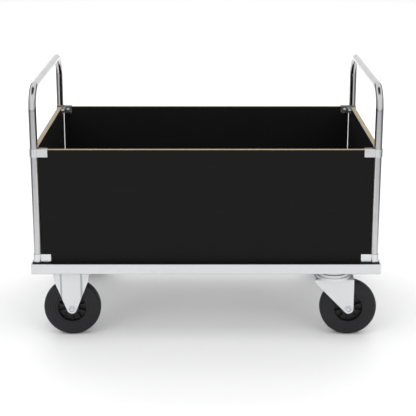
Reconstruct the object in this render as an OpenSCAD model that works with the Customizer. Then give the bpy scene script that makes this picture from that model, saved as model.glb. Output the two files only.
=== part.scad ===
// Box trolley: a castored steel platform with a plywood deck, a bent tube handle at each end and
// four plywood sides that are clamped to the handle posts.
// Millimetres. +X points to the swivel castors, -Y is the front, +Z is up, and the origin is on the
// floor under the middle of the platform.

/* [Platform] */
// Length of the platform, along X
platform_l = 1200; // [1000:10:1500]
// Width of the platform, along Y
platform_w = 800; // [600:10:1000]
// Height of the steel frame, from its underside to the top of its rim
frame_h = 35; // [31:1:60]
// Thickness of the deck board
deck_t = 15; // [12:1:18]
// Width of the box part of the long rails
rail_w = 80; // [70:1:90]
// Width of the box part of the end rails
end_rail_w = 50; // [45:1:60]
// Wall of the rails and cross members
rail_wall = 2.5; // [1.5:0.5:3]
// Thickness of the rail's outer wall, which stands up as a rim round the deck
rim_t = 3; // [2:0.5:4]
// Gap between the deck board and the rim
deck_gap = 0.5; // [0.2:0.1:1.5]
// Width of a cross member, along X
cross_w = 40; // [34:1:60]
// Gap between the left end rail and its nearest cross member
fixed_member_gap = 7.5; // [2:0.5:60]
// Gap between the right end rail and its nearest cross member
swivel_member_gap = 32.5; // [27:0.5:80]
// Shank diameter of the deck screws
deck_screw_d = 5; // [4:0.5:6]

/* [Handles] */
// Outside diameter of the handle tube
tube_d = 26; // [22:1:32]
// Wall of the handle tube
tube_wall = 2; // [1.5:0.5:3]
// Height of the top of the handles above the floor
handle_top = 897; // [820:1:1100]
// Radius of the handle bends, to the middle of the tube
bend_r = 76; // [50:1:120]
// Distance from the end of the platform to the middle of a post
post_inset_x = 21.5; // [20:0.5:26]
// Distance from the side of the platform to the middle of a post
post_inset_y = 30; // [24:0.5:34]
// Clearance round a post where it drops through the deck and the rail
post_clear = 0.3; // [0.2:0.1:1]

/* [Sides] */
// Thickness of the side boards
panel_t = 16.5; // [12:0.5:18]
// Height of the side boards
panel_h = 398.5; // [200:0.5:450]
// Gap between a post and the end of a side board
panel_gap = 2.5; // [1:0.5:6]

/* [Clamps] */
// Thickness of the clamp strap
clamp_t = 2; // [1.5:0.5:3]
// Height of a clamp
clamp_h = 28; // [20:1:40]
// Reach of a clamp from the middle of the post
clamp_reach = 46; // [40:1:60]
// How far the upper clamps stand above the boards, and the lower ones above the deck
clamp_rise = 3; // [1:0.5:6]
// Clearance between a clamp and the post
clamp_clear = 0.2; // [0.1:0.1:0.5]
// Diameter of the studs welded to the outer clamps
clamp_stud_d = 6; // [5:1:6]

/* [Castors] */
// Diameter of the wheels
wheel_d = 200; // [160:5:240]
// Width of the tyre
tyre_w = 50; // [40:1:52]
// Clearance between the tyre and the crown of a fork
wheel_top_gap = 6; // [5:0.5:20]
// Trail of the swivel castors, from the kingpin to the axle
trail = 54; // [40:1:54]
// Distance from a castor bolt to the edges of its plate
plate_edge = 15; // [13:0.5:20]
// Thickness of a castor plate
plate_t = 5; // [4:0.5:6]
// Bolt spacing of a castor plate, along X
bolt_dx = 105; // [102:1:125]
// Clearance between the bolt heads and the legs of a fixed castor
bolt_leg_gap = 2; // [2:0.5:10]
// Thread diameter of the castor bolts
castor_bolt_d = 10; // [8:1:10]

/* [Wheels] */
// Diameter of the rim where the tyre sits
rim_d = 104; // [96:1:120]
// Length of the wheel hub
hub_w = 56; // [52:1:58]
// Bore of the wheel hub
hub_bore = 30.2; // [30.2:0.1:32]
// Number of ribs on each side of the rim
ribs = 10; // [8:1:16]
// Outside diameter of the sleeve that the bearing rollers run on
sleeve_d = 20; // [18:0.5:20]
// Diameter of the axle bolt
axle_d = 12; // [10:1:12]

/* [Forks] */
// Thickness of the fork and bracket sheet
fork_t = 3; // [2.5:0.5:4]
// Distance between the inner faces of the fork legs
fork_gap = 60; // [60:0.5:72]
// Depth of the raised web pressed into a fixed bracket's legs
web_step = 3; // [3:0.1:3.5]
// Width of the sloping wall on each side of that web
web_slope = 7; // [3:0.5:8]
// Diameter of the swivel crown
crown_d = 116; // [110:1:120]
// Thickness of the swivel crown, over the fork sheet
crown_h = 10; // [8:0.5:14]
// Depth of the raceway ring under the plate of a swivel castor
race_h = 10; // [8:0.5:14]
// Diameter of the kingpin
kingpin_d = 16; // [14:1:18]

/* [Hidden] */
$fn = 48;

eps = 1;                                    // overrun of a cut past the face it cuts
front = -1;
rear = 1;
left = -1;
right = 1;

// Swivel head, from the top down
race_d = 96;
race_bore = 52;
ball_d = 10;
ball_bite = 1.5;                            // how far a ball sits in each raceway
ball_ring_r = 37;
balls = 16;
ball_gap = ball_d - 2 * ball_bite;          // between the two raceways
crown_boss_h = 4;
shroud_t = 3;                               // raised ring on the crown that covers the balls
shroud_h = 10;
kingpin_head_d = 28;
kingpin_head_h = 8;
kingpin_flush_h = 4;
swivel_head_h = plate_t + race_h + ball_gap + crown_boss_h + crown_h;

// Heights
fork_top = wheel_d + wheel_top_gap + fork_t;
castor_h = fork_top + swivel_head_h;
frame_z = castor_h;                         // underside of the frame
race_z = frame_z - plate_t - race_h;
deck_top = frame_z + frame_h;
rail_h = frame_h - deck_t;                  // height of the box part of a rail
deck_z = deck_top - deck_t;
panel_top = deck_top + panel_h;

// Deck screws
deck_screw_pitch = 0.15;                    // spacing over the long rails, in platform lengths
deck_screw_rows = 0.3;                      // spacing over the end rails, in platform widths
member_screw_rows = 0.2;                    // rows over the cross members, in platform widths
deck_screw_inset = 55;                      // row over a long rail, from the platform's side
end_screw_inset = 38;                       // row over an end rail, from the platform's end
deck_screw_clear = 0.2;
deck_screw_tip = 4;
deck_head_h = 3;

// Posts and handles
tube_r = tube_d / 2;
post_x = platform_l / 2 - post_inset_x;
post_y = platform_w / 2 - post_inset_y;
handle_z = handle_top - tube_r;             // middle of the handle's top bar
post_foot_z = frame_z + rail_wall;          // a post stands on the rail's bottom wall
plug_h = 20;
handle_bolt_d = 8;
handle_bolt_clear = 0.5;

// Side boards
long_panel_l = 2 * (post_x - tube_r - panel_gap);
end_panel_l = 2 * (post_y - tube_r - panel_gap);

// Clamps
clamp_seat_r = tube_r + clamp_clear;        // inside of the strap round the post
clamp_back = panel_t / 2;                   // a board's face, from the middle of the post
clamp_tip = 6;                              // length of the bevelled end of a strap
clamp_top_z = panel_top + clamp_rise - clamp_h;
clamp_bottom_z = deck_top + clamp_rise;
clamp_stud_at = 31;                         // stud, from the middle of the post
clamp_stud_clear = 0.25;
clamp_nut_h = 5;                            // hexagon of a cap nut, under its dome

// Castor places
bolt_head_af = 1.6;                         // width across flats over thread diameter
hex_round = 2 / sqrt(3);                    // width across corners over width across flats
leg_y = fork_gap / 2;                       // inner face of a leg
flank_y = leg_y - web_step;                 // inner face of a fixed leg beside its raised web
bolt_head_r = castor_bolt_d * bolt_head_af / 2;
bolt_dy = 2 * (flank_y + fork_t + bolt_leg_gap + bolt_head_r);
fixed_x = -platform_l / 2 + end_rail_w + fixed_member_gap + cross_w / 2 + bolt_dx / 2;
swivel_x = platform_l / 2 - end_rail_w - swivel_member_gap - cross_w / 2 - bolt_dx / 2;
plate_l = bolt_dx + 2 * plate_edge;
plate_w = bolt_dy + 2 * plate_edge;
castor_y = platform_w / 2 - rail_w / 2 - bolt_dy / 2;
axle_z = wheel_d / 2;
bolt_hole_clear = 0.5;
castor_bolt_r = castor_bolt_d / 2;
bolt_head_h = 6.4;
castor_nut_h = 8;

// Axle
axle_r = axle_d / 2;
axle_hole_clear = 0.25;
axle_nut_h = 10;
axle_head_h = 7.5;
running_clear = 0.05;

// Fork legs
leg_foot_r = 17;                            // rounded foot round the axle
fork_round = 6;                             // outer radius where a leg meets the crown
flank_top = 65;                             // half the width of a fixed leg under its plate
flank_low = 58;                             // half the width where its taper begins
flank_drop = 46;                            // how far below the frame the taper begins
web_half = 32;                              // half the width of the raised web

// ---- Colours ----
zinc = [0.80, 0.81, 0.83];
chrome = [0.74, 0.75, 0.76];
board = [0.12, 0.12, 0.12];
rubber = [0.19, 0.19, 0.20];
plastic = [0.07, 0.07, 0.07];
steel = [0.62, 0.63, 0.65];

// ---- Platform ----

// A cylinder that stands on z = 0, with both ends lengthened by over
module bore(r, h, over = eps) {
    translate([0, 0, -over]) cylinder(r = r, h = h + 2 * over);
}

// X places of the bolts of the castors
function bolt_columns() = [for (x = [fixed_x, swivel_x], s = [-1, 1]) x + s * bolt_dx / 2];

// X places of the cross members: one over each column of castor bolts and one between them
function member_columns() =
    let (bolts = bolt_columns()) concat(bolts, [(bolts[1] + bolts[2]) / 2]);

// Places of the deck screws, over the long rails, the end rails and the cross members
function deck_screw_points() = concat(
    [for (i = [-3 : 3], s = [-1, 1])
        [i * platform_l * deck_screw_pitch, s * (platform_w / 2 - deck_screw_inset)]],
    [for (s = [-1, 1], j = [-1 : 1])
        [s * (platform_l / 2 - end_screw_inset), j * platform_w * deck_screw_rows]],
    [for (x = member_columns(), s = [-1, 1]) [x, s * platform_w * member_screw_rows]]);

module at_deck_screws() {
    for (p = deck_screw_points()) translate([p[0], p[1], deck_top]) children();
}

// Holes that the deck screws cut their threads in, through the top walls of the frame
module deck_screw_bores() {
    at_deck_screws() translate([0, 0, -deck_t - rail_wall])
        bore(deck_screw_d / 2 + running_clear, rail_wall);
}

// Full-length rail at the front (side = -1) or the rear (side = 1), closed at both ends
module long_rail(side) {
    outer_y = side > 0 ? platform_w / 2 - rail_w : -platform_w / 2;
    rim_y = side > 0 ? platform_w / 2 - rim_t : -platform_w / 2;
    cavity_y = side > 0 ? outer_y + rail_wall : outer_y + rim_t;
    color(zinc) difference() {
        union() {
            translate([-platform_l / 2, outer_y, frame_z]) cube([platform_l, rail_w, rail_h]);
            translate([-platform_l / 2, rim_y, frame_z]) cube([platform_l, rim_t, frame_h]);
            for (x = [-platform_l / 2, platform_l / 2 - rim_t])
                translate([x, outer_y, frame_z]) cube([rim_t, rail_w, frame_h]);
        }
        translate([-platform_l / 2 + rim_t, cavity_y, frame_z + rail_wall])
            cube([platform_l - 2 * rim_t, rail_w - rim_t - rail_wall, rail_h - 2 * rail_wall]);
        for (x = [-post_x, post_x]) {
            translate([x, side * post_y, frame_z + rail_h / 2])
                bore(tube_r + post_clear, rail_h / 2);
            translate([x, side * post_y, frame_z])
                bore(handle_bolt_d / 2 + handle_bolt_clear, rail_wall);
        }
        for (x = bolt_columns())
            translate([x, side * (castor_y + bolt_dy / 2), frame_z])
                bore(castor_bolt_r + bolt_hole_clear, rail_wall);
        deck_screw_bores();
    }
}

// Rail across the left (side = -1) or right (side = 1) end, between the long rails
module end_rail(side) {
    length = platform_w - 2 * rail_w;
    outer_x = side > 0 ? platform_l / 2 - end_rail_w : -platform_l / 2;
    rim_x = side > 0 ? platform_l / 2 - rim_t : -platform_l / 2;
    cavity_x = side > 0 ? outer_x + rail_wall : outer_x + rim_t;
    color(zinc) difference() {
        union() {
            translate([outer_x, -length / 2, frame_z]) cube([end_rail_w, length, rail_h]);
            translate([rim_x, -length / 2, frame_z]) cube([rim_t, length, frame_h]);
        }
        translate([cavity_x, -length / 2 - eps, frame_z + rail_wall])
            cube([end_rail_w - rim_t - rail_wall, length + 2 * eps, rail_h - 2 * rail_wall]);
        deck_screw_bores();
    }
}

// Five box-section bearers under the deck; the outer four carry the inner castor bolts
module cross_members() {
    length = platform_w - 2 * rail_w;
    color(zinc) for (x = member_columns()) difference() {
        translate([x - cross_w / 2, -length / 2, frame_z]) cube([cross_w, length, rail_h]);
        translate([x - cross_w / 2 + rail_wall, -length / 2 - eps, frame_z + rail_wall])
            cube([cross_w - 2 * rail_wall, length + 2 * eps, rail_h - 2 * rail_wall]);
        for (bolt_x = bolt_columns(), side = [front, rear])
            translate([bolt_x, side * (castor_y - bolt_dy / 2), frame_z])
                bore(castor_bolt_r + bolt_hole_clear, rail_wall);
        deck_screw_bores();
    }
}

module deck() {
    l = platform_l - 2 * (rim_t + deck_gap);
    w = platform_w - 2 * (rim_t + deck_gap);
    color(board) difference() {
        translate([-l / 2, -w / 2, deck_z]) cube([l, w, deck_t]);
        for (x = [-post_x, post_x], y = [-post_y, post_y])
            translate([x, y, deck_z]) bore(tube_r + post_clear, deck_t);
        at_deck_screws() {
            translate([0, 0, -deck_t]) bore(deck_screw_d / 2 + deck_screw_clear, deck_t);
            deck_screw_head(deck_screw_clear);
        }
    }
}

// Countersunk head, its flat top on z = 0, grown sideways by grow
module deck_screw_head(grow) {
    translate([0, 0, -deck_head_h]) cylinder(r1 = deck_screw_d / 2 + grow,
        r2 = deck_screw_d + grow, h = deck_head_h);
}

module deck_screws() {
    length = deck_t + rail_wall + deck_screw_tip;
    color(steel) at_deck_screws() {
        deck_screw_head(0);
        translate([0, 0, -length]) cylinder(d = deck_screw_d, h = length - deck_head_h / 2);
    }
}

// ---- Handles ----

// Solid U of radius r that follows the handle's line, in the YZ plane, from z = foot
module handle_bar(r, foot) {
    straight = handle_z - bend_r;
    for (side = [front, rear]) {
        translate([0, side * post_y, foot]) cylinder(r = r, h = straight - foot);
        translate([0, side * (post_y - bend_r), straight])
            rotate([90, 0, side > 0 ? 90 : -90]) rotate_extrude(angle = 90)
                translate([bend_r, 0]) circle(r = r);
    }
    translate([0, post_y - bend_r, handle_z]) rotate([90, 0, 0])
        cylinder(r = r, h = 2 * (post_y - bend_r));
}

module handle(side) {
    color(chrome) translate([side * post_x, 0, 0]) difference() {
        handle_bar(tube_r, post_foot_z);
        handle_bar(tube_r - tube_wall, post_foot_z - eps);
    }
}

// Threaded plugs pressed into the feet of the posts
module handle_plugs() {
    color(steel) at_posts() translate([0, 0, post_foot_z]) difference() {
        cylinder(r = tube_r - tube_wall - running_clear, h = plug_h);
        bore(handle_bolt_d / 2 + running_clear, plug_h);
    }
}

// Bolts that hold the posts down, from under the rails
module handle_bolts() {
    head_h = 5.3;
    color(steel) at_posts() translate([0, 0, frame_z - head_h]) {
        cylinder(d = handle_bolt_d * bolt_head_af * hex_round, h = head_h, $fn = 6);
        cylinder(d = handle_bolt_d, h = head_h + rail_wall + plug_h - 2);
    }
}

module at_posts() {
    for (x = [-post_x, post_x], y = [-post_y, post_y]) translate([x, y, 0]) children();
}

// ---- Side boards ----

// Board along X; the holes take the clamp studs
module long_panel(side) {
    color(board) translate([0, side * post_y, deck_top]) difference() {
        translate([-long_panel_l / 2, -panel_t / 2, 0]) cube([long_panel_l, panel_t, panel_h]);
        panel_holes(post_x) rotate([-90, 0, 0]) translate([0, 0, -panel_t / 2])
            bore(clamp_stud_d / 2 + clamp_stud_clear, panel_t);
    }
}

// Board along Y
module end_panel(side) {
    color(board) translate([side * post_x, 0, deck_top]) difference() {
        translate([-panel_t / 2, -end_panel_l / 2, 0]) cube([panel_t, end_panel_l, panel_h]);
        rotate([0, 0, 90]) panel_holes(post_y) rotate([-90, 0, 0])
            translate([0, 0, -panel_t / 2]) bore(clamp_stud_d / 2 + clamp_stud_clear, panel_t);
    }
}

// Places of the four studs of a board that runs along X between posts at -reach and reach
module panel_holes(reach) {
    for (x = [-1, 1] * (reach - clamp_stud_at), z = [clamp_top_z, clamp_bottom_z])
        translate([x, 0, z + clamp_h / 2 - deck_top]) children();
}

// ---- Clamps ----

// Moves a clamp drawn for the front left post, with its boards along +X and +Y, to a corner
module at_corner(x_side, y_side) {
    translate([x_side * post_x, y_side * post_y, 0])
        mirror([x_side > 0 ? 1 : 0, 0, 0]) mirror([0, y_side > 0 ? 1 : 0, 0]) children();
}

module clamp_pair() {
    for (z = [clamp_top_z, clamp_bottom_z]) translate([0, 0, z]) linear_extrude(clamp_h) children();
}

// Flat end of a strap on the board along +X, its face at y = back, with a bevelled tip
module strap_end(start, back) {
    polygon([[start, back], [clamp_reach, back], [clamp_reach, back - clamp_t / 3],
        [clamp_reach - clamp_tip, back - clamp_t], [start, back - clamp_t]]);
}

// Strap round the outside of the post with an end on the outer face of each board
module outer_strap() {
    join = sqrt(pow(clamp_seat_r, 2) - pow(clamp_back, 2));
    difference() {
        circle(r = clamp_seat_r + clamp_t);
        circle(r = clamp_seat_r);
        translate([-clamp_back, -clamp_back]) square(4 * tube_r);
    }
    for (flip = [0, 1]) mirror([flip, -flip]) strap_end(join, -clamp_back);
}

// Angle on the inner faces of both boards, its corner formed round the post
module inner_strap() {
    difference() {
        union() {
            for (flip = [0, 1]) mirror([flip, -flip]) mirror([0, 1])
                strap_end(clamp_back, -clamp_back);
            intersection() {
                circle(r = clamp_seat_r + clamp_t);
                translate([clamp_back, clamp_back]) square(2 * tube_r);
            }
        }
        circle(r = clamp_seat_r);
    }
}

// Both stud places of each clamp of a corner, for a child drawn along +Z from the board's middle
module at_studs() {
    for (z = [clamp_top_z, clamp_bottom_z], flip = [0, 1])
        mirror([flip, -flip, 0]) translate([clamp_stud_at, 0, z + clamp_h / 2])
            rotate([-90, 0, 0]) children();
}

module outer_clamps(x_side, y_side) {
    color(zinc) at_corner(x_side, y_side) clamp_pair() outer_strap();
}

module inner_clamps(x_side, y_side) {
    color(zinc) at_corner(x_side, y_side) difference() {
        clamp_pair() inner_strap();
        at_studs() bore(clamp_stud_d / 2 + clamp_stud_clear, clamp_back + clamp_t);
    }
}

// Studs welded to the backs of the outer clamps, through the boards and the inner clamps
module clamp_studs() {
    color(steel) for (x = [left, right], y = [front, rear]) at_corner(x, y) at_studs()
        translate([0, 0, -clamp_back])
            cylinder(d = clamp_stud_d, h = panel_t + clamp_t + clamp_nut_h);
}

// Cap nuts inside the box
module clamp_nuts() {
    across = clamp_stud_d * 5 / 3;
    color(steel) for (x = [left, right], y = [front, rear]) at_corner(x, y) at_studs()
        translate([0, 0, clamp_back + clamp_t]) difference() {
            union() {
                cylinder(d = across * hex_round, h = clamp_nut_h, $fn = 6);
                intersection() {
                    translate([0, 0, clamp_nut_h]) sphere(d = across * 0.94);
                    cylinder(d = across, h = clamp_nut_h + across);
                }
            }
            translate([0, 0, -eps])
                cylinder(r = clamp_stud_d / 2 + running_clear, h = clamp_nut_h + 2 * eps);
        }
}

// ---- Castor fixings ----

module at_castor_bolts() {
    for (x = bolt_columns(), y = [-1, 1] * castor_y, s = [-1, 1] * bolt_dy / 2)
        translate([x, y + s, 0]) children();
}

module castor_bolts() {
    color(steel) at_castor_bolts() translate([0, 0, frame_z - plate_t - bolt_head_h]) {
        cylinder(d = castor_bolt_d * bolt_head_af * hex_round, h = bolt_head_h, $fn = 6);
        cylinder(d = castor_bolt_d, h = bolt_head_h + plate_t + rail_wall + castor_nut_h);
    }
}

// Weld nuts inside the rails and cross members
module castor_nuts() {
    color(steel) at_castor_bolts() translate([0, 0, frame_z + rail_wall]) difference() {
        cylinder(d = castor_bolt_d * bolt_head_af * hex_round, h = castor_nut_h, $fn = 6);
        bore(castor_bolt_r + running_clear, castor_nut_h);
    }
}

// Plate with its four bolt holes, from z = frame_z - plate_t up
module castor_plate() {
    corner = 10;
    translate([0, 0, frame_z - plate_t]) linear_extrude(plate_t) difference() {
        union() {
            square([plate_l - 2 * corner, plate_w], center = true);
            square([plate_l, plate_w - 2 * corner], center = true);
            for (x = [-1, 1], y = [-1, 1])
                translate([x * (plate_l / 2 - corner), y * (plate_w / 2 - corner)])
                    circle(r = corner);
        }
        for (x = [-1, 1], y = [-1, 1]) translate([x * bolt_dx / 2, y * bolt_dy / 2])
            circle(r = castor_bolt_r + bolt_hole_clear);
    }
}

// ---- Wheels, drawn round the Y axis at their own centre ----

module along_y() {
    rotate([90, 0, 0]) children();
}

module tyre() {
    outer = wheel_d / 2;
    shoulder = 10;
    half = tyre_w / 2;
    seat = rim_d / 2 + 2 * running_clear;
    color(rubber) along_y() rotate_extrude($fn = 96) {
        translate([seat, -half]) square([outer - shoulder - seat, tyre_w]);
        translate([outer - 2 * shoulder, -half + shoulder])
            square([2 * shoulder, tyre_w - 2 * shoulder]);
        for (s = [-1, 1]) translate([outer - shoulder, s * (half - shoulder)])
            circle(r = shoulder);
    }
}

module rim() {
    seat = rim_d / 2;
    ring_t = 3;
    ring_w = tyre_w - 4;
    web_t = 6;
    hub_r = hub_bore / 2 + 8;
    rib_t = 3;
    rib_w = ring_w - 8;
    color(plastic) along_y() difference() {
        union() {
            rotate_extrude($fn = 96) {
                translate([hub_bore / 2, -hub_w / 2]) square([hub_r - hub_bore / 2, hub_w]);
                translate([hub_r - 1, -web_t / 2]) square([seat - hub_r, web_t]);
                translate([seat - ring_t, -ring_w / 2]) square([ring_t, ring_w]);
            }
            for (i = [0 : ribs - 1]) rotate(i * 360 / ribs)
                translate([hub_r - 1, -rib_t / 2, -rib_w / 2])
                    cube([seat - ring_t - hub_r + 2, rib_t, rib_w]);
        }
        translate([0, 0, -hub_w]) cylinder(d = hub_bore, h = 2 * hub_w);
    }
}

// Ten rollers in a cage, between the hub and the axle sleeve
module bearing() {
    rollers = 10;
    roller_r = (hub_bore - sleeve_d) / 4 - running_clear;
    pitch_r = (hub_bore + sleeve_d) / 4;
    roller_l = hub_w - 16;
    cage_l = hub_w - 4;
    cage_t = 1.2;
    color(steel) along_y() {
        for (i = [0 : rollers - 1]) rotate(i * 360 / rollers) translate([pitch_r, 0, -roller_l / 2])
            cylinder(r = roller_r, h = roller_l);
        difference() {
            translate([0, 0, -cage_l / 2]) cylinder(r = pitch_r + cage_t, h = cage_l);
            translate([0, 0, -cage_l]) cylinder(r = pitch_r - cage_t, h = 2 * cage_l);
            for (i = [0 : rollers - 1]) rotate(i * 360 / rollers)
                translate([pitch_r, 0, -roller_l / 2 - 0.5])
                    cylinder(r = roller_r + 0.1, h = roller_l + 1);
        }
    }
}

module sleeve() {
    color(steel) along_y() difference() {
        translate([0, 0, -fork_gap / 2]) cylinder(d = sleeve_d, h = fork_gap);
        translate([0, 0, -fork_gap]) cylinder(r = axle_r + axle_hole_clear, h = 2 * fork_gap);
    }
}

module axle_bolt() {
    outer = leg_y + fork_t;
    color(steel) along_y() {
        translate([0, 0, outer]) cylinder(d = axle_d * bolt_head_af * hex_round, h = axle_head_h,
            $fn = 6);
        translate([0, 0, -outer - axle_nut_h - 1])
            cylinder(d = axle_d, h = 2 * outer + axle_nut_h + 1 + axle_head_h / 2);
    }
}

module axle_nut() {
    outer = leg_y + fork_t;
    color(steel) along_y() translate([0, 0, -outer - axle_nut_h]) difference() {
        cylinder(d = axle_d * bolt_head_af * hex_round, h = axle_nut_h, $fn = 6);
        bore(axle_r + running_clear, axle_nut_h);
    }
}

// ---- Fixed castor, with its axle under the origin ----

// Outline of a fixed leg in the XZ plane, tapering to a round foot at the axle
module fixed_leg_outline() {
    taper_z = frame_z - flank_drop;
    reach = norm([flank_low, taper_z - axle_z]);
    // angle of the taper's straight edge, which is tangent to the foot
    lean = atan2(flank_low, taper_z - axle_z) - asin(leg_foot_r / reach);
    foot = [leg_foot_r * cos(lean), -leg_foot_r * sin(lean)];
    translate([0, axle_z]) circle(r = leg_foot_r);
    polygon([[-flank_top, frame_z - plate_t], [flank_top, frame_z - plate_t],
        [flank_low, taper_z], [foot[0], axle_z + foot[1]],
        [-foot[0], axle_z + foot[1]], [-flank_low, taper_z]]);
}

// Section of the bracket in the XY plane: two legs, each with a web raised by web_step
module fixed_leg_section() {
    for (side = [0, 1]) mirror([0, side]) {
        outer = [[-flank_top, flank_y + fork_t], [-web_half - web_slope, flank_y + fork_t],
            [-web_half, leg_y + fork_t], [web_half, leg_y + fork_t],
            [web_half + web_slope, flank_y + fork_t], [flank_top, flank_y + fork_t]];
        inner = [[flank_top, flank_y], [web_half + web_slope - fork_t / 2, flank_y],
            [web_half - fork_t / 2, leg_y], [-web_half + fork_t / 2, leg_y],
            [-web_half - web_slope + fork_t / 2, flank_y], [-flank_top, flank_y]];
        polygon(concat(outer, inner));
    }
}

module fixed_bracket() {
    color(zinc) difference() {
        union() {
            castor_plate();
            intersection() {
                linear_extrude(frame_z) fixed_leg_section();
                rotate([90, 0, 0]) linear_extrude(4 * leg_y, center = true) fixed_leg_outline();
            }
        }
        translate([0, 2 * leg_y, axle_z]) rotate([90, 0, 0])
            cylinder(r = axle_r + axle_hole_clear, h = 4 * leg_y);
    }
}

// ---- Swivel castor, with its kingpin on the Z axis ----

module ball_groove() {
    rotate_extrude($fn = 96) translate([ball_ring_r, 0]) circle(d = ball_d + 0.2);
}

module swivel_plate() {
    color(zinc) difference() {
        union() {
            castor_plate();
            translate([0, 0, race_z]) cylinder(d = race_d, h = race_h + eps);
        }
        translate([0, 0, race_z - eps]) cylinder(d = race_bore, h = race_h + eps);
        translate([0, 0, race_z])
            cylinder(r = kingpin_d / 2 + running_clear, h = race_h + plate_t + eps);
        translate([0, 0, frame_z - kingpin_flush_h])
            cylinder(r = kingpin_head_d / 2 + running_clear, h = kingpin_flush_h + eps);
        translate([0, 0, race_z - ball_d / 2 + ball_bite]) ball_groove();
    }
}

module ball_race() {
    color(steel) for (i = [0 : balls - 1]) rotate(i * 360 / balls)
        translate([ball_ring_r, 0, race_z - ball_d / 2 + ball_bite]) sphere(d = ball_d);
}

module kingpin() {
    under = fork_top - fork_t - 0.2;        // the fork turns 0.2 above the kingpin's head
    color(steel) {
        translate([0, 0, under - kingpin_head_h])
            cylinder(d = kingpin_head_d, h = kingpin_head_h, $fn = 6);
        translate([0, 0, under - kingpin_head_h / 2])
            cylinder(d = kingpin_d, h = frame_z - under + kingpin_head_h / 2);
        translate([0, 0, frame_z - kingpin_flush_h])
            cylinder(d = kingpin_head_d, h = kingpin_flush_h);
    }
}

// Outline of a swivel leg in the XZ plane: upright behind the axle and raked in front of it
module swivel_leg_outline() {
    nose = [-66, fork_top - fork_round];
    chin = [-58, fork_top - 18];
    reach = norm([chin[0] - trail, chin[1] - axle_z]);
    rake = atan2(chin[1] - axle_z, chin[0] - trail);
    touch = rake + acos(leg_foot_r / reach);
    foot = [trail + leg_foot_r * cos(touch), axle_z + leg_foot_r * sin(touch)];
    translate([trail, axle_z]) circle(r = leg_foot_r);
    polygon([nose, [nose[0] + fork_round, fork_top], [trail + leg_foot_r, fork_top],
        [trail + leg_foot_r, axle_z], [trail, axle_z], foot, chin]);
}

// Section of the fork in the YZ plane: an inverted U with round shoulders
module fork_section() {
    outer = leg_y + fork_t;
    inner_round = fork_round - fork_t;
    difference() {
        union() {
            translate([-outer, 0]) square([2 * outer, fork_top - fork_round]);
            translate([-outer + fork_round, 0]) square([2 * (outer - fork_round), fork_top]);
            for (s = [-1, 1]) translate([s * (outer - fork_round), fork_top - fork_round])
                circle(r = fork_round);
        }
        translate([-leg_y, -eps])
            square([fork_gap, fork_top - fork_t - inner_round + eps]);
        translate([-leg_y + inner_round, -eps])
            square([fork_gap - 2 * inner_round, fork_top - fork_t + eps]);
        for (s = [-1, 1])
            translate([s * (leg_y - inner_round), fork_top - fork_t - inner_round])
                circle(r = inner_round);
    }
}

module fork() {
    boss_r = crown_d / 2 - shroud_t - 5;
    color(zinc) difference() {
        union() {
            intersection() {
                rotate([90, 0, 90]) linear_extrude(4 * crown_d, center = true) fork_section();
                rotate([90, 0, 0]) linear_extrude(4 * leg_y, center = true) swivel_leg_outline();
            }
            translate([0, 0, fork_top - eps / 2]) cylinder(d = crown_d, h = crown_h + eps / 2);
            translate([0, 0, fork_top + crown_h - eps / 2])
                cylinder(r = ball_ring_r + ball_d, h = crown_boss_h + eps / 2);
            translate([0, 0, fork_top + crown_h - eps / 2]) difference() {
                cylinder(r = race_d / 2 + shroud_t + 2, h = shroud_h + eps / 2);
                translate([0, 0, -eps]) cylinder(r = race_d / 2 + 2, h = shroud_h + 3 * eps);
            }
        }
        translate([0, 0, race_z - ball_d / 2 + ball_bite]) ball_groove();
        translate([0, 0, fork_top - 2 * fork_t])
            cylinder(r = kingpin_d / 2 + running_clear, h = crown_h + crown_boss_h + 3 * fork_t);
        translate([trail, 2 * leg_y, axle_z]) rotate([90, 0, 0])
            cylinder(r = axle_r + axle_hole_clear, h = 4 * leg_y);
    }
}

// ---- Places of the castors ----

module at_fixed(y_side) {
    translate([fixed_x, y_side * castor_y, 0]) children();
}

module at_swivel(y_side) {
    translate([swivel_x, y_side * castor_y, 0]) children();
}

// Wheel parts and axles, drawn at the axle; bolt heads face outwards
module at_axle(x_side, y_side) {
    x = x_side < 0 ? fixed_x : swivel_x + trail;
    translate([x, y_side * castor_y, axle_z]) mirror([0, y_side > 0 ? 1 : 0, 0]) children();
}

module at_fixed_axles() {
    for (y_side = [front, rear]) at_axle(left, y_side) children();
}

// ---- Parts ----
long_rail(front);  // front_rail
long_rail(rear);  // rear_rail
end_rail(left);  // left_rail
end_rail(right);  // right_rail
cross_members();
deck();
deck_screws();
handle(left);  // left_handle
handle(right);  // right_handle
handle_plugs();
handle_bolts();
long_panel(front);  // front_panel
long_panel(rear);  // rear_panel
end_panel(left);  // left_panel
end_panel(right);  // right_panel
outer_clamps(left, front);  // front_left_outer_clamps
outer_clamps(right, front);  // front_right_outer_clamps
outer_clamps(left, rear);  // rear_left_outer_clamps
outer_clamps(right, rear);  // rear_right_outer_clamps
inner_clamps(left, front);  // front_left_inner_clamps
inner_clamps(right, front);  // front_right_inner_clamps
inner_clamps(left, rear);  // rear_left_inner_clamps
inner_clamps(right, rear);  // rear_right_inner_clamps
clamp_studs();
clamp_nuts();
castor_bolts();
castor_nuts();
at_fixed(front) fixed_bracket();  // front_left_bracket
at_fixed(rear) fixed_bracket();  // rear_left_bracket
at_fixed_axles() axle_bolt();  // fixed_axle_bolts
at_fixed_axles() axle_nut();  // fixed_axle_nuts
at_fixed_axles() sleeve();  // fixed_sleeves
at_axle(left, front) rim();  // front_left_rim
at_axle(left, front) tyre();  // front_left_tyre
at_axle(left, front) bearing();  // front_left_bearing
at_axle(left, rear) rim();  // rear_left_rim
at_axle(left, rear) tyre();  // rear_left_tyre
at_axle(left, rear) bearing();  // rear_left_bearing
at_swivel(front) swivel_plate();  // front_right_plate
at_swivel(front) ball_race();  // front_right_balls
at_swivel(front) kingpin();  // front_right_kingpin
at_swivel(front) fork();  // front_right_fork
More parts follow.
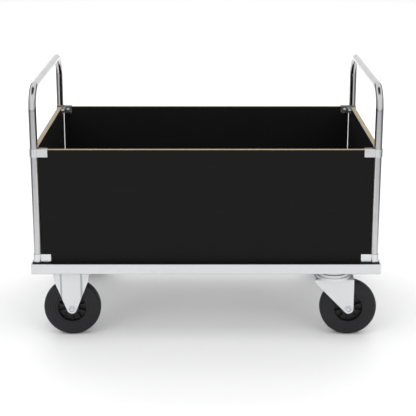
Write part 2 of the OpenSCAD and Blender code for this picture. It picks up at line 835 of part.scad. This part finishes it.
at_axle(right, front) axle_bolt();  // front_right_axle_bolt
at_axle(right, front) axle_nut();  // front_right_axle_nut
at_axle(right, front) sleeve();  // front_right_sleeve
at_axle(right, front) rim();  // front_right_rim
at_axle(right, front) tyre();  // front_right_tyre
at_axle(right, front) bearing();  // front_right_bearing
at_swivel(rear) swivel_plate();  // rear_right_plate
at_swivel(rear) ball_race();  // rear_right_balls
at_swivel(rear) kingpin();  // rear_right_kingpin
at_swivel(rear) fork();  // rear_right_fork
at_axle(right, rear) axle_bolt();  // rear_right_axle_bolt
at_axle(right, rear) axle_nut();  // rear_right_axle_nut
at_axle(right, rear) sleeve();  // rear_right_sleeve
at_axle(right, rear) rim();  // rear_right_rim
at_axle(right, rear) tyre();  // rear_right_tyre
at_axle(right, rear) bearing();  // rear_right_bearing
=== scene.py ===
from math import pi, radians

import bmesh
import bpy
from mathutils import Matrix, Vector


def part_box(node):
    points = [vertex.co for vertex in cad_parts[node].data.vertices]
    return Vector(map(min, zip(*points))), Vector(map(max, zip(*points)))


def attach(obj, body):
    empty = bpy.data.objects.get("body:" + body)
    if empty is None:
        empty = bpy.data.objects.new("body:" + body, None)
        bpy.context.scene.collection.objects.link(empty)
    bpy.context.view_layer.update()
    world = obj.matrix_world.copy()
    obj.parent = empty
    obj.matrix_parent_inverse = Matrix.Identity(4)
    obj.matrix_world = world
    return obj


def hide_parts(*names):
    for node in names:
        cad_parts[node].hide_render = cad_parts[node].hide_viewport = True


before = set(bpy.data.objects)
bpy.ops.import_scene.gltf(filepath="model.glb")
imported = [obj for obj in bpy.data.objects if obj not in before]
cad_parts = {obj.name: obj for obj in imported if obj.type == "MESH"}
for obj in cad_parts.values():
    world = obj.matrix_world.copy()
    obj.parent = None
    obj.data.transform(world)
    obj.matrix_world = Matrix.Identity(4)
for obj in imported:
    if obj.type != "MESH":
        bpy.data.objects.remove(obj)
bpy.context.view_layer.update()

# ---- Frame ----
# Folded steel rails welded into a shallow tray for the deck, with box-section members across
# it. The steel is powder coated light grey, which leaves a fine orange-peel surface.


class Shade:
    """A shader socket. Arithmetic on it adds Math nodes, and node() adds any other node."""

    def __init__(self, tree, socket=None):
        self.tree, self.socket = tree, socket

    def node(self, kind, inputs, out=0, **settings):
        made = self.tree.nodes.new("ShaderNode" + kind)
        for name, value in settings.items():
            setattr(made, name, value)
        for name, value in inputs.items():
            if isinstance(value, Shade):
                self.tree.links.new(value.socket, made.inputs[name])
            else:
                made.inputs[name].default_value = value
        return Shade(self.tree, made.outputs[out] if made.outputs else None)

    def math(self, operation, *values):
        return self.node("Math", dict(enumerate(values)), operation=operation)

    def __add__(self, other):
        return self.math("ADD", self, other)

    def __sub__(self, other):
        return self.math("SUBTRACT", self, other)

    def __rsub__(self, other):
        return self.math("SUBTRACT", other, self)

    def __mul__(self, other):
        return self.math("MULTIPLY", self, other)

    __radd__ = __add__
    __rmul__ = __mul__


def new_finish(name):
    """A new material, its empty shade, and the place on the piece."""
    made = bpy.data.materials.new(name)
    made.use_nodes = True
    made.node_tree.nodes.clear()
    shade = Shade(made.node_tree)
    return made, shade, shade.node("TexCoord", {}, out="Object")


def noise(where, scale, detail=3.0, rough=0.5):
    return where.node("TexNoise", {"Vector": where, "Scale": scale, "Detail": detail,
                                   "Roughness": rough})


def stretched(where, x, y, z):
    return where.node("Mapping", {"Vector": where, "Scale": (x, y, z)})


def split(where):
    """The X, Y and Z of a place, a colour or a direction."""
    parts = where.node("SeparateXYZ", {0: where}).socket.node.outputs
    return [Shade(where.tree, part) for part in parts]


def between(amount, low, high):
    """amount from 0 at low to 1 at high, held at both ends."""
    return amount.node("MapRange", {"Value": amount, "From Min": low, "From Max": high})


def tint(amount, first, second):
    """The first colour where amount is 0 and the second where it is 1."""
    colours = [(*c, 1.0) if isinstance(c, tuple) else c for c in (first, second)]
    return amount.node("Mix", {0: amount, 6: colours[0], 7: colours[1]}, out=2, data_type="RGBA")


def mesh_mask(shade, name):
    """A mask that the mesh carries as the attribute of this name."""
    return shade.node("Attribute", {}, out="Fac", attribute_name=name)


def surface(shade, height=None, depth=0.0, **sockets):
    """Ends a material with a Principled surface. height is a bump, depth metres deep."""
    inputs = {name.replace("_", " "): value for name, value in sockets.items()}
    if height:
        inputs["Normal"] = shade.node("Bump", {"Height": height, "Distance": depth})
    shade.node("OutputMaterial", {"Surface": shade.node("BsdfPrincipled", inputs)})


def merged_copy(node, doubled=2e-6, flatter=radians(0.3)):
    """A CAD node's mesh with its doubled points merged and its flat faces made whole."""
    mesh = bmesh.new()
    mesh.from_mesh(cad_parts[node].data)
    bmesh.ops.remove_doubles(mesh, verts=mesh.verts, dist=doubled)
    bmesh.ops.dissolve_limit(mesh, angle_limit=flatter, verts=mesh.verts, edges=mesh.edges)
    return mesh


def round_edges(mesh, width, sharper=radians(28)):
    """Takes the sharpness off every edge whose faces meet at more than this angle."""
    sharp = [e for e in mesh.edges if e.is_manifold and e.calc_face_angle() > sharper]
    bmesh.ops.bevel(mesh, geom=sharp, offset=width, segments=2, profile=0.5,
                    affect="EDGES", material=-1, clamp_overlap=True)


def place(mesh, name, body, node, slot, *finishes, crisp=radians(40)):
    """Makes the mesh a piece that stands for a CAD node and rides on a body."""
    data = bpy.data.meshes.new(name)
    mesh.to_mesh(data)
    mesh.free()
    for finish in finishes:
        data.materials.append(finish)
    for face in data.polygons:
        face.use_smooth = True
    data.set_sharp_from_angle(angle=crisp)
    made = bpy.data.objects.new(name, data)
    bpy.context.scene.collection.objects.link(made)
    made.modifiers.new("even_normals", "WEIGHTED_NORMAL").keep_sharp = True
    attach(made, body)
    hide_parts(node)


paint, shade, where = new_finish("frame_paint")
patches = noise(where, 4.0)
peel = noise(where, 700.0, 2.0)
dust = between(noise(where, 38.0, 6.0, 0.7), 0.55, 0.75)
scuffs = between(noise(stretched(where, 6.0, 6.0, 90.0), 14.0, 5.0, 0.75), 0.66, 0.72)
clean = tint(patches, (0.575, 0.58, 0.595), (0.62, 0.625, 0.64))
dusty = tint(dust * 0.35, clean, (0.52, 0.51, 0.49))
# painted shade: the down-facing round of each rail's bottom fold is darkened
shaded_under = tint(mesh_mask(shade, "underside_shade") * 0.9, dusty, (0.28, 0.28, 0.285))
surface(shade, peel + scuffs * -0.6, 0.00012,
        Base_Color=tint(scuffs * 0.5, shaded_under, (0.42, 0.42, 0.43)),
        Roughness=0.36 + dust * 0.16 + scuffs * 0.15, Specular_IOR_Level=0.5)

rail_round = 0.0009
fold_round = 0.0028
fold_facing = (-0.97, -0.3)    # the round's normal in z, from its lower edge to its upper one
level = 1e-5                   # points that differ by less lie in the same wall
reach_x, reach_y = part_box("rear_rail")[1].xy
for rail in ("front_rail", "rear_rail", "left_rail", "right_rail", "cross_members"):
    steel = merged_copy(rail)
    # the outer walls are folded up from the bottom wall, so that edge is rounder than the rest
    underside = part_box(rail)[0].z + level
    under = [e for e in steel.edges if max(p.co.z for p in e.verts) < underside]
    fold = [e for e in under if min(abs(p.co.x) for p in e.verts) > reach_x - level
            or min(abs(p.co.y) for p in e.verts) > reach_y - level]
    bmesh.ops.bevel(steel, geom=fold, offset=fold_round, segments=4, profile=0.5,
                    affect="EDGES", material=-1)
    # the round of that fold, where it faces down, is painted darker as painted shade under the
    # rail
    shade_layer = steel.faces.layers.float.new("underside_shade")
    for face in steel.faces:
        face[shade_layer] = 1.0 if fold_facing[0] < face.normal.z < fold_facing[1] else 0.0
    round_edges(steel, rail_round)
    place(steel, rail + "_painted", "chassis", rail, "frame_paint", paint)

# ---- Deck ----
# A sheet of film-faced plywood that lies on the rails inside their rim. Its upper film carries
# the print of a wire mesh for grip, and its sawn edges are sealed.


def board_finish(name, pitch, relief):
    """Dark phenolic film. The wires of its mesh print are pitch metres apart, and the print and
    the film's own grain are relief metres deep."""
    film, shade, where = new_finish(name)
    x, y, z = split(where)
    wires = [where.math("SINE", run * (2 * pi / pitch))
             for run in (x + y + z, x - y + z, x + y - z)]
    weave = where.math("MAXIMUM", wires[0], where.math("MAXIMUM", wires[1], wires[2]))
    cloud = noise(where, 5.0, 5.0, 0.6)
    rubbed = between(noise(stretched(where, 1.0, 1.0, 7.0), 9.0, 8.0, 0.7), 0.58, 0.80)
    scratches = between(noise(stretched(where, 3.0, 3.0, 160.0), 5.0, 4.0, 0.8), 0.70, 0.74)
    dark = tint(cloud, (0.0042, 0.0041, 0.0041), (0.0064, 0.0062, 0.0061))
    worn = tint(rubbed * 0.25, dark, (0.020, 0.019, 0.018))
    surface(shade, weave * 0.5 + noise(where, 260.0) * 0.8 - scratches * 0.8, relief,
            Base_Color=tint(scratches * 0.30, worn, (0.06, 0.055, 0.05)),
            Roughness=0.52 + cloud * 0.10 + rubbed * 0.08, Specular_IOR_Level=0.12)
    return film


ply_edge, shade, where = new_finish("plywood_edge")
ply_count = 11
wander = noise(where, 30.0, 2.0) * 0.35
layer = shade.math("PINGPONG", mesh_mask(shade, "ply_depth") * ply_count + wander, 1.0)
lengthwise = between(layer, 0.40, 0.60)
glue = between(shade.math("ABSOLUTE", layer - 0.5), 0.10, 0.02)
grain = noise(stretched(where, 14.0, 14.0, 14.0), 22.0, 6.0, 0.7)
pores = between(noise(where, 900.0, 2.0), 0.60, 0.72)
stain = between(noise(where, 11.0, 5.0, 0.6), 0.45, 0.75)
pale = tint(grain, (0.40, 0.33, 0.24), (0.53, 0.46, 0.345))
deep = tint(grain, (0.21, 0.16, 0.105), (0.30, 0.24, 0.165))
wood = tint(glue * 0.75, tint(lengthwise, deep, pale), (0.07, 0.048, 0.032))
porous = tint(pores * 0.4, wood, (0.10, 0.075, 0.05))
surface(shade, grain * 0.5 - pores * 0.5 - glue * 0.6, 0.00035,
        Base_Color=tint(stain * 0.30, porous, (0.17, 0.15, 0.12)),
        Roughness=0.72 + grain * 0.12, Specular_IOR_Level=0.25)


board_round = 0.0006


def plywood(node, axis, name, slot, film, facing=0.7):
    """A board of plies stacked along axis: film on its two faces and bare edges all round."""
    low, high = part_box(node)
    mesh = merged_copy(node)
    for face in mesh.faces:
        face.material_index = 0 if abs(face.normal[axis]) > facing else 1
    round_edges(mesh, board_round)
    through = mesh.verts.layers.float.new("ply_depth")
    for point in mesh.verts:
        point[through] = (point.co[axis] - low[axis]) / (high[axis] - low[axis])
    place(mesh, name, "chassis", node, slot, film, ply_edge)


grip_pitch = 0.0042
grip_relief = 0.0004
plywood("deck", 2, "deck_sheet", "deck_board",
        board_finish("deck_film", grip_pitch, grip_relief))

# ---- Deck screws ----
# Countersunk cross-recess screws, driven flush through the deck into the rails and members.
# They are zinc plated, as are the other fasteners.

plate, shade, where = new_finish("fixing_zinc")
haze = noise(where, 160.0, 5.0, 0.6)
tarnish = between(noise(where, 60.0, 6.0, 0.7), 0.50, 0.78)
bright = tint(haze, (0.60, 0.61, 0.62), (0.74, 0.75, 0.76))
bare = tint(tarnish * 0.6, bright, (0.42, 0.40, 0.36))
surface(shade, noise(where, 1500.0, 2.0), 0.00005,
        # painted shade: the sloping walls of the axle bolts' dished heads are darkened
        Base_Color=tint(mesh_mask(shade, "dish_shade") * 0.8, bare, (0.16, 0.16, 0.165)),
        Roughness=0.26 + haze * 0.14 + tarnish * 0.2, Metallic=1.0)


def solids_of(node):
    """The separate solids of a CAD node, each as the places of its corner points."""
    mesh = merged_copy(node)
    left, found = dict.fromkeys(mesh.verts), []
    while left:
        group, to_visit = [], [left.popitem()[0]]
        while to_visit:
            point = to_visit.pop()
            group.append(point.co.copy())
            for edge in point.link_edges:
                near = edge.other_vert(point)
                if near in left:
                    del left[near]
                    to_visit.append(near)
        found.append(group)
    mesh.free()
    return found


shank_r = 0.0024
shank_sides = 24
head_r = 0.005
head_depth = 0.003       # from the deck's surface to where the countersink starts
head_rise = 0.0029       # the head stays a tenth of a millimetre below the surface
recess_r = 0.0028
recess_depth = 0.0012
recess_waist = 0.35      # between the arms of the cross, as a part of recess_r
recess_taper = 0.5
screws = bmesh.new()
for points in solids_of("deck_screws"):
    x, y = [(min(p[i] for p in points) + max(p[i] for p in points)) / 2 for i in (0, 1)]
    top, tip = max(p.z for p in points), min(p.z for p in points)
    from_axis = Matrix.Translation((-x, -y, 0))
    ring = bmesh.ops.create_circle(screws, cap_ends=True, segments=shank_sides, radius=shank_r,
                                   matrix=Matrix.Translation((x, y, tip)))["verts"]
    foot = ring[0].link_faces[0]
    bmesh.ops.reverse_faces(screws, faces=[foot])
    walls = bmesh.ops.extrude_edge_only(screws, edges=foot.edges[:])["geom"]
    neck = [v for v in walls if isinstance(v, bmesh.types.BMVert)]
    bmesh.ops.translate(screws, verts=neck, vec=(0, 0, top - tip - head_depth))
    neck_line = [e for e in walls if isinstance(e, bmesh.types.BMEdge)
                 and all(v in neck for v in e.verts)]
    flare = bmesh.ops.extrude_edge_only(screws, edges=neck_line)["geom"]
    head = [v for v in flare if isinstance(v, bmesh.types.BMVert)]
    bmesh.ops.translate(screws, verts=head, vec=(0, 0, head_rise))
    bmesh.ops.scale(screws, verts=head, vec=(head_r / shank_r, head_r / shank_r, 1),
                    space=from_axis)
    cap = bmesh.ops.contextual_create(screws, geom=head)["faces"][0]
    bmesh.ops.inset_region(screws, faces=[cap], thickness=head_r - recess_r,
                           use_even_offset=False)
    # the cross recess: the ring is drawn in between the four arms, then sunk
    for point in cap.verts:
        out_x, out_y = point.co.x - x, point.co.y - y
        arm = abs(out_x ** 2 - out_y ** 2) / (out_x ** 2 + out_y ** 2)
        reach = recess_waist + (1 - recess_waist) * arm
        point.co.x, point.co.y = x + out_x * reach, y + out_y * reach
    pit = bmesh.ops.extrude_discrete_faces(screws, faces=[cap])["faces"][0]
    bmesh.ops.translate(screws, verts=pit.verts, vec=(0, 0, -recess_depth))
    bmesh.ops.scale(screws, verts=pit.verts, vec=(recess_taper, recess_taper, 1),
                    space=from_axis)
bmesh.ops.recalc_face_normals(screws, faces=screws.faces)
place(screws, "deck_screw_set", "chassis", "deck_screws", "fixing_steel", plate)

# ---- Handles ----
# One bright plated steel tube at each end, bent into an upside-down U. Its feet drop through the
# deck and stand on the bottom walls of the long rails.

chrome, shade, where = new_finish("handle_chrome")
smudge = between(noise(where, 26.0, 6.0, 0.65), 0.48, 0.72)
polish = noise(stretched(where, 30.0, 3.0, 3.0), 60.0, 3.0)
surface(shade, polish, 0.00003,
        Base_Color=tint(smudge, (0.53, 0.53, 0.54), (0.47, 0.47, 0.48)),
        Roughness=0.10 + smudge * 0.12, Metallic=1.0)

tube_r = 0.013
tube_wall = 0.002
bend_r = 0.076
tube_sides = 40
bend_steps = 20
quarter = radians(90)
for end in ("left", "right"):
    low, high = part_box(end + "_handle")
    x = (low.x + high.x) / 2
    tube = bmesh.new()
    ring = bmesh.ops.create_circle(tube, segments=tube_sides, radius=tube_r,
                                   matrix=Matrix.Translation((x, low.y + tube_r, low.z)))["verts"]
    line = list(dict.fromkeys(edge for point in ring for edge in point.link_edges))
    rise = high.z - tube_r - bend_r - low.z
    span = high.y - low.y - 2 * (tube_r + bend_r)
    here = (0, 0, 0)
    # up the front post, round its bend, back along the bar, round the other bend and down
    for cent, angle, steps, run in (
            (here, 0, 1, (0, 0, rise)),
            ((x, low.y + tube_r + bend_r, low.z + rise), quarter, bend_steps, here),
            (here, 0, 1, (0, span, 0)),
            ((x, high.y - tube_r - bend_r, low.z + rise), quarter, bend_steps, here),
            (here, 0, 1, (0, 0, -rise))):
        made = bmesh.ops.spin(tube, geom=line, cent=cent, axis=(-1, 0, 0), dvec=run,
                              angle=angle, steps=steps)["geom_last"]
        line = [edge for edge in made if isinstance(edge, bmesh.types.BMEdge)]
    bmesh.ops.recalc_face_normals(tube, faces=tube.faces)
    bmesh.ops.solidify(tube, geom=tube.faces[:], thickness=tube_wall)
    place(tube, end + "_handle_tube", "chassis", end + "_handle", "handle_chrome", chrome)

# ---- Sides ----
# Four boards of film-faced plywood like the deck's, with only a fine grain pressed into both faces
# and bare sanded edges. They stand on the deck between the posts.

grain_pitch = 0.0011
grain_relief = 0.00012
side_film = board_finish("side_film", grain_pitch, grain_relief)
for board, axis in (("front_panel", 1), ("rear_panel", 1), ("left_panel", 0), ("right_panel", 0)):
    plywood(board, axis, board.replace("panel", "board"), "side_board", side_film)

# ---- Clamps ----
# Zinc plated straps formed round each post, their ends flat on the outer faces of two boards, and
# an angle inside the corner. Welded studs and cap nuts pull the two together.

sheet_zinc, shade, where = new_finish("clamp_zinc")
spangle = split(shade.node("TexVoronoi", {"Vector": where, "Scale": 210.0}, out="Color"))[0]
brushed = noise(stretched(where, 40.0, 40.0, 2.0), 30.0, 4.0, 0.6)
stain = between(noise(where, 45.0, 6.0, 0.7), 0.55, 0.80)
sheet = tint(spangle, (0.67, 0.68, 0.695), (0.70, 0.71, 0.72))
surface(shade, brushed, 0.00002,
        Base_Color=tint(stain * 0.25, sheet, (0.48, 0.47, 0.45)),
        Roughness=0.22 + spangle * 0.05 + stain * 0.12, Metallic=1.0)

strap_round = 0.0004
for corner in ("front_left", "front_right", "rear_left", "rear_right"):
    for side in ("outer", "inner"):
        clamps = f"{corner}_{side}_clamps"
        strap = merged_copy(clamps)
        round_edges(strap, strap_round)
        place(strap, f"{corner}_{side}_straps", "chassis", clamps, "clamp_zinc", sheet_zinc)

# ---- Bolts and nuts ----
# Hexagon bolts hold the castors and the posts, and nylon-lined nuts the axles. Their corners are
# chamfered by the forging, and all are zinc plated.

fixing_round = 0.0006
head_area = 2.4e-4       # only the outer face of an axle bolt's hexagon is larger
dish_edge = 0.0024
dish_wall = 0.0018
dish_depth = 0.0026
for fixing, body in (("clamp_studs", "chassis"), ("clamp_nuts", "chassis"),
                     ("handle_bolts", "chassis"), ("castor_bolts", "chassis"),
                     ("fixed_axle_bolts", "chassis"), ("fixed_axle_nuts", "chassis"),
                     ("front_right_axle_bolt", "swivel_fork_front"),
                     ("front_right_axle_nut", "swivel_fork_front"),
                     ("rear_right_axle_bolt", "swivel_fork_rear"),
                     ("rear_right_axle_nut", "swivel_fork_rear"),
                     ("front_right_kingpin", "chassis"), ("rear_right_kingpin", "chassis")):
    steel = merged_copy(fixing)
    round_edges(steel, fixing_round)
    shade_layer = steel.faces.layers.float.new("dish_shade")
    if "axle_bolt" in fixing:
        # the hexagon heads of the axle bolts are dished by the forging, and the dish's walls are
        # painted darker as painted shade
        heads = [f for f in steel.faces if len(f.verts) == 6 and f.calc_area() > head_area]
        for head in heads:
            inward = head.normal * -dish_depth
            bmesh.ops.inset_region(steel, faces=[head], thickness=dish_edge)
            walls = bmesh.ops.inset_region(steel, faces=[head], thickness=dish_wall)["faces"]
            for wall in walls:
                wall[shade_layer] = 1.0
            bmesh.ops.translate(steel, verts=head.verts, vec=inward)
    place(steel, fixing + "_plated", body, fixing, "fixing_steel", plate)


def finish_as_is(node, finish):
    """A CAD node that keeps its shape gets this finish."""
    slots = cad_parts[node].data.materials
    slots.clear()
    slots.append(finish)


# the weld nuts, the plugs in the posts and the axle sleeves have the same plating
for hidden in ("castor_nuts", "handle_plugs", "fixed_sleeves", "front_right_sleeve",
               "rear_right_sleeve"):
    finish_as_is(hidden, plate)

# ---- Castor brackets and forks ----
# Pressed from 3 mm sheet and bright zinc plated. The fixed brackets have a raised web down each
# leg, and the forks turn on a ball race under a bolted plate.

bright_zinc, shade, where = new_finish("castor_zinc")
flow = noise(where, 14.0, 5.0, 0.6)
drawn = noise(stretched(where, 3.0, 3.0, 45.0), 25.0, 3.0, 0.6)
spots = between(noise(where, 130.0, 6.0, 0.7), 0.60, 0.80)
sheet = tint(flow, (0.65, 0.66, 0.675), (0.71, 0.715, 0.725))
# painted shade: the sloping walls of the fixed brackets' raised webs are darkened
slope_shaded = tint(mesh_mask(shade, "web_slope_shade") * 0.8, sheet, (0.34, 0.345, 0.355))
surface(shade, drawn + flow * 0.5, 0.00006,
        Base_Color=tint(spots * 0.5, slope_shaded, (0.50, 0.50, 0.50)),
        Roughness=0.33 + flow * 0.10 + spots * 0.12, Metallic=0.6)

pressing_round = 0.0007
slope_x = (0.3, 0.5)     # how far the normal of a web's sloping wall leans along x
slope_y = 0.85           # and the least that it faces along y
slope_area = 2e-4        # smaller faces that lean the same way belong to rounded edges
for pressing, body in (("front_left_bracket", "chassis"), ("rear_left_bracket", "chassis"),
                       ("front_right_plate", "chassis"), ("rear_right_plate", "chassis"),
                       ("front_right_fork", "swivel_fork_front"),
                       ("rear_right_fork", "swivel_fork_rear")):
    steel = merged_copy(pressing)
    round_edges(steel, pressing_round)
    # the sloping walls of the raised webs are painted darker, as painted shade
    shade_on_slopes = steel.faces.layers.float.new("web_slope_shade")
    for face in steel.faces:
        slopes = slope_x[0] < abs(face.normal.x) < slope_x[1] and abs(face.normal.y) > slope_y
        face[shade_on_slopes] = 1.0 if slopes and face.calc_area() > slope_area else 0.0
    place(steel, pressing + "_pressing", body, pressing, "castor_zinc", bright_zinc)

# the balls of the race and the roller bearings in the hubs are hard steel, smeared with grease
race, shade, where = new_finish("bearing_steel")
grease = between(noise(where, 120.0, 4.0), 0.45, 0.65)
surface(shade, grease, 0.0002,
        Base_Color=tint(grease, (0.55, 0.55, 0.56), (0.20, 0.15, 0.09)),
        Roughness=0.18 + grease * 0.25, Metallic=1.0)
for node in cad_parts:
    if node.endswith(("_bearing", "_balls")):
        finish_as_is(node, race)

# ---- Wheels ----
# A solid grey-black rubber tyre moulded on a black plastic rim. The rim has a thin web in the
# middle of its width, stiffened by ribs on both sides, and a hub with a roller bearing.

rubber, shade, where = new_finish("tyre_rubber")
bloom = between(noise(where, 16.0, 5.0, 0.6), 0.40, 0.75)
crumb = noise(where, 1400.0, 2.0)
dust = between(noise(where, 90.0, 6.0, 0.7), 0.55, 0.80)
aged = tint(bloom, (0.013, 0.013, 0.0145), (0.020, 0.020, 0.022))
surface(shade, crumb + noise(where, 300.0) * 0.6, 0.00012,
        Base_Color=tint(dust * 0.25, aged, (0.05, 0.049, 0.045)),
        Roughness=0.58 + bloom * 0.12, Specular_IOR_Level=0.25)
moulded, shade, where = new_finish("rim_plastic")
haze = noise(where, 40.0, 4.0, 0.6)
surface(shade, noise(where, 900.0, 3.0), 0.00008,
        Base_Color=tint(haze, (0.006, 0.006, 0.006), (0.011, 0.011, 0.012)),
        Roughness=0.40 + haze * 0.14, Specular_IOR_Level=0.4)

# half of each section: distance from the axle and from the wheel's middle, in metres. The tyre's
# goes up its grooved side wall to the tread, the rim's from the hub down the web to its outer bed
tyre_half = [(0.0521, 0.0236), (0.0535, 0.0243), (0.0562, 0.0243), (0.0570, 0.0232),
             (0.0584, 0.0232), (0.0592, 0.0245), (0.0650, 0.0248), (0.0656, 0.0240),
             (0.0664, 0.0240), (0.0670, 0.0249), (0.0740, 0.0250), (0.0748, 0.0241),
             (0.0758, 0.0241), (0.0766, 0.0250), (0.0830, 0.0249), (0.0837, 0.0241),
             (0.0846, 0.0241), (0.0854, 0.0247), (0.0900, 0.0240), (0.0942, 0.0220),
             (0.0970, 0.0188), (0.0986, 0.0150), (0.0996, 0.0095), (0.09996, 0.0010),
             (0.1000, 0.0004)]
rim_half = [(0.0151, 0.0280), (0.0222, 0.0280), (0.0231, 0.0271), (0.0231, 0.0060),
            (0.0245, 0.0036), (0.0265, 0.0030), (0.0462, 0.0030), (0.0482, 0.0040),
            (0.0492, 0.0070), (0.0492, 0.0224), (0.0497, 0.0230), (0.0514, 0.0230),
            (0.0519, 0.0224)]
tyre_segments = 96
rim_segments = 80
rib_count = 10
rib_size = (0.0270, 0.0380, 0.0026)    # along its spoke, along the axle, and thick
rib_middle = 0.0360                    # from the axle
rib_drop = 0.82                        # its outer end is this much as wide as its hub end
rib_outer_end = 0.04                   # corners further than this from the centre are that end's
rib_round = 0.0005


def turned(mesh, half, centre, segments, doubled=1e-6):
    """Turns a closed section, given as one half, into a ring round a Y axle at centre."""
    section = half + [(r, -y) for r, y in reversed(half)]
    points = [mesh.verts.new((centre.x + r, centre.y + y, centre.z)) for r, y in section]
    edges = [mesh.edges.new((points[i - 1], points[i])) for i in range(len(points))]
    bmesh.ops.spin(mesh, geom=edges, cent=centre, axis=(0, 1, 0), angle=radians(360),
                   steps=segments, use_merge=True)
    bmesh.ops.remove_doubles(mesh, verts=mesh.verts, dist=doubled)


for wheel, body in (("front_left", "fixed_wheel_front"), ("rear_left", "fixed_wheel_rear"),
                    ("front_right", "swivel_wheel_front"), ("rear_right", "swivel_wheel_rear")):
    low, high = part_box(wheel + "_rim")
    centre = (low + high) / 2
    tyre = bmesh.new()
    turned(tyre, tyre_half, centre, tyre_segments)
    bmesh.ops.recalc_face_normals(tyre, faces=tyre.faces)
    place(tyre, wheel + "_solid_tyre", body, wheel + "_tyre", "tyre_rubber", rubber)
    rim = bmesh.new()
    turned(rim, rim_half, centre, rim_segments)
    for number in range(rib_count):
        turn = Matrix.Rotation(2 * pi * (number + 0.5) / rib_count, 4, "Y")
        spoke = Matrix.Translation(centre) @ turn @ Matrix.Translation((rib_middle, 0, 0))
        rib = bmesh.ops.create_cube(rim, size=1.0,
                                    matrix=spoke @ Matrix.Diagonal((*rib_size, 1)))["verts"]
        # the rib's outer edge slopes down from the hub to the rim
        for point in rib:
            away = point.co - centre
            if away.length > rib_outer_end:
                point.co.y = centre.y + away.y * rib_drop
        bmesh.ops.bevel(rim, geom=list(dict.fromkeys(e for p in rib for e in p.link_edges)),
                        offset=rib_round, segments=2, profile=0.5, affect="EDGES", material=-1)
    bmesh.ops.recalc_face_normals(rim, faces=rim.faces)
    place(rim, wheel + "_ribbed_rim", body, wheel + "_rim", "rim_plastic", moulded)

# ---- Studio ----
# A pale floor that greys off to the sides and ahead, in a white tent with grey flags. Soft lamps
# hang overhead, behind and to both sides, with a weak one under the deck. The camera has a long
# lens and stands at head height.

sweep, shade, where = new_finish("studio_floor")
x, y, _ = split(where)
grain = noise(where, 30.0, 3.0)
# the white floor widens towards the camera, and a little towards the back
fore_and_aft = shade.math("MAXIMUM", (y + 0.4) * -0.8, (y + 0.4) * 0.2)
aside = between(shade.math("ABSOLUTE", x) - fore_and_aft, 0.95, 2.3)
ahead = between(y, -1.6, -2.0) * 0.22
pale = tint(ahead, tint(grain, (0.89, 0.89, 0.89), (0.90, 0.90, 0.90)), (0.22, 0.22, 0.225))
surface(shade, Base_Color=tint(aside, pale, (0.20, 0.20, 0.205)), Roughness=0.85,
        Specular_IOR_Level=0.1)
floor_reach = 12.0
ground = bmesh.new()
bmesh.ops.create_grid(ground, x_segments=1, y_segments=1, size=floor_reach)
data = bpy.data.meshes.new("floor")
ground.to_mesh(data)
ground.free()
data.materials.append(sweep)
floor = bpy.data.objects.new("floor", data)
bpy.context.scene.collection.objects.link(floor)

# grey flags stand to the sides and low down behind, and a small one hangs right overhead; bright
# tubes and zinc show them as dark lines
world = bpy.data.worlds.new("studio_tent")
bpy.context.scene.world = world
world.use_nodes = True
world.node_tree.nodes.clear()
shade = Shade(world.node_tree)
x, y, z = split(shade.node("TexCoord", {}, out="Generated"))
off_x, off_y = shade.math("ABSOLUTE", x), shade.math("ABSOLUTE", y)
aside = between(off_x, 0.74, 0.86) * 0.55
behind = between(y, 0.25, 0.40) * (between(off_x, 0.30, 0.42) * 0.70 + 0.12)
above = between(off_x, 0.56, 0.34) * between(off_y, 0.42, 0.26) * between(z, 0.5, 0.8)
flags = shade.math("MAXIMUM", aside, behind) * between(z, 0.55, 0.35) + above
shade.node("OutputWorld", {"Surface": shade.node("Background", {
    "Color": tint(flags, (1.0, 1.0, 1.0), (0.05, 0.05, 0.05)), "Strength": 1.12})})

for name, at, size, power, aim in (
        ("overhead", (0.0, -0.3, 3.4), (4.0, 3.0), 46.0, (0.0, 0.0, 0.3)),
        ("behind", (0.0, 6.0, 5.0), (8.0, 6.0), 260.0, (0.0, 5.0, 0.0)),
        ("front_left", (-3.0, -3.6, 2.6), (2.2, 2.2), 27.0, (0.0, 0.0, 0.4)),
        ("front_right", (3.0, -3.6, 2.2), (2.2, 2.2), 20.0, (0.0, 0.0, 0.4)),
        ("under_deck", (0.0, 0.0, 0.236), (1.0, 0.5), 0.6, (0.0, 0.0, 0.0))):
    light = bpy.data.lights.new(name, "AREA")
    light.shape, light.size, light.size_y, light.energy = "RECTANGLE", *size, power
    lamp = bpy.data.objects.new(name, light)
    lamp.location = at
    lamp.visible_camera = lamp.visible_glossy = False
    lamp.rotation_euler = (Vector(aim) - Vector(at)).to_track_quat("-Z", "Y").to_euler()
    bpy.context.scene.collection.objects.link(lamp)

tipped_down = 15.32      # degrees
camera = bpy.data.objects.new("camera", bpy.data.cameras.new("camera"))
camera.data.sensor_width = 36.0
camera.data.lens = 102.04
camera.data.shift_y = -0.045
camera.data.clip_end = 60.0
camera.location = (0.0068, -4.2256, 1.596)
camera.rotation_euler = (radians(90 - tipped_down), 0.0, 0.0)
bpy.context.scene.collection.objects.link(camera)
bpy.context.scene.camera = camera
bpy.context.scene.view_settings.view_transform = "Standard"
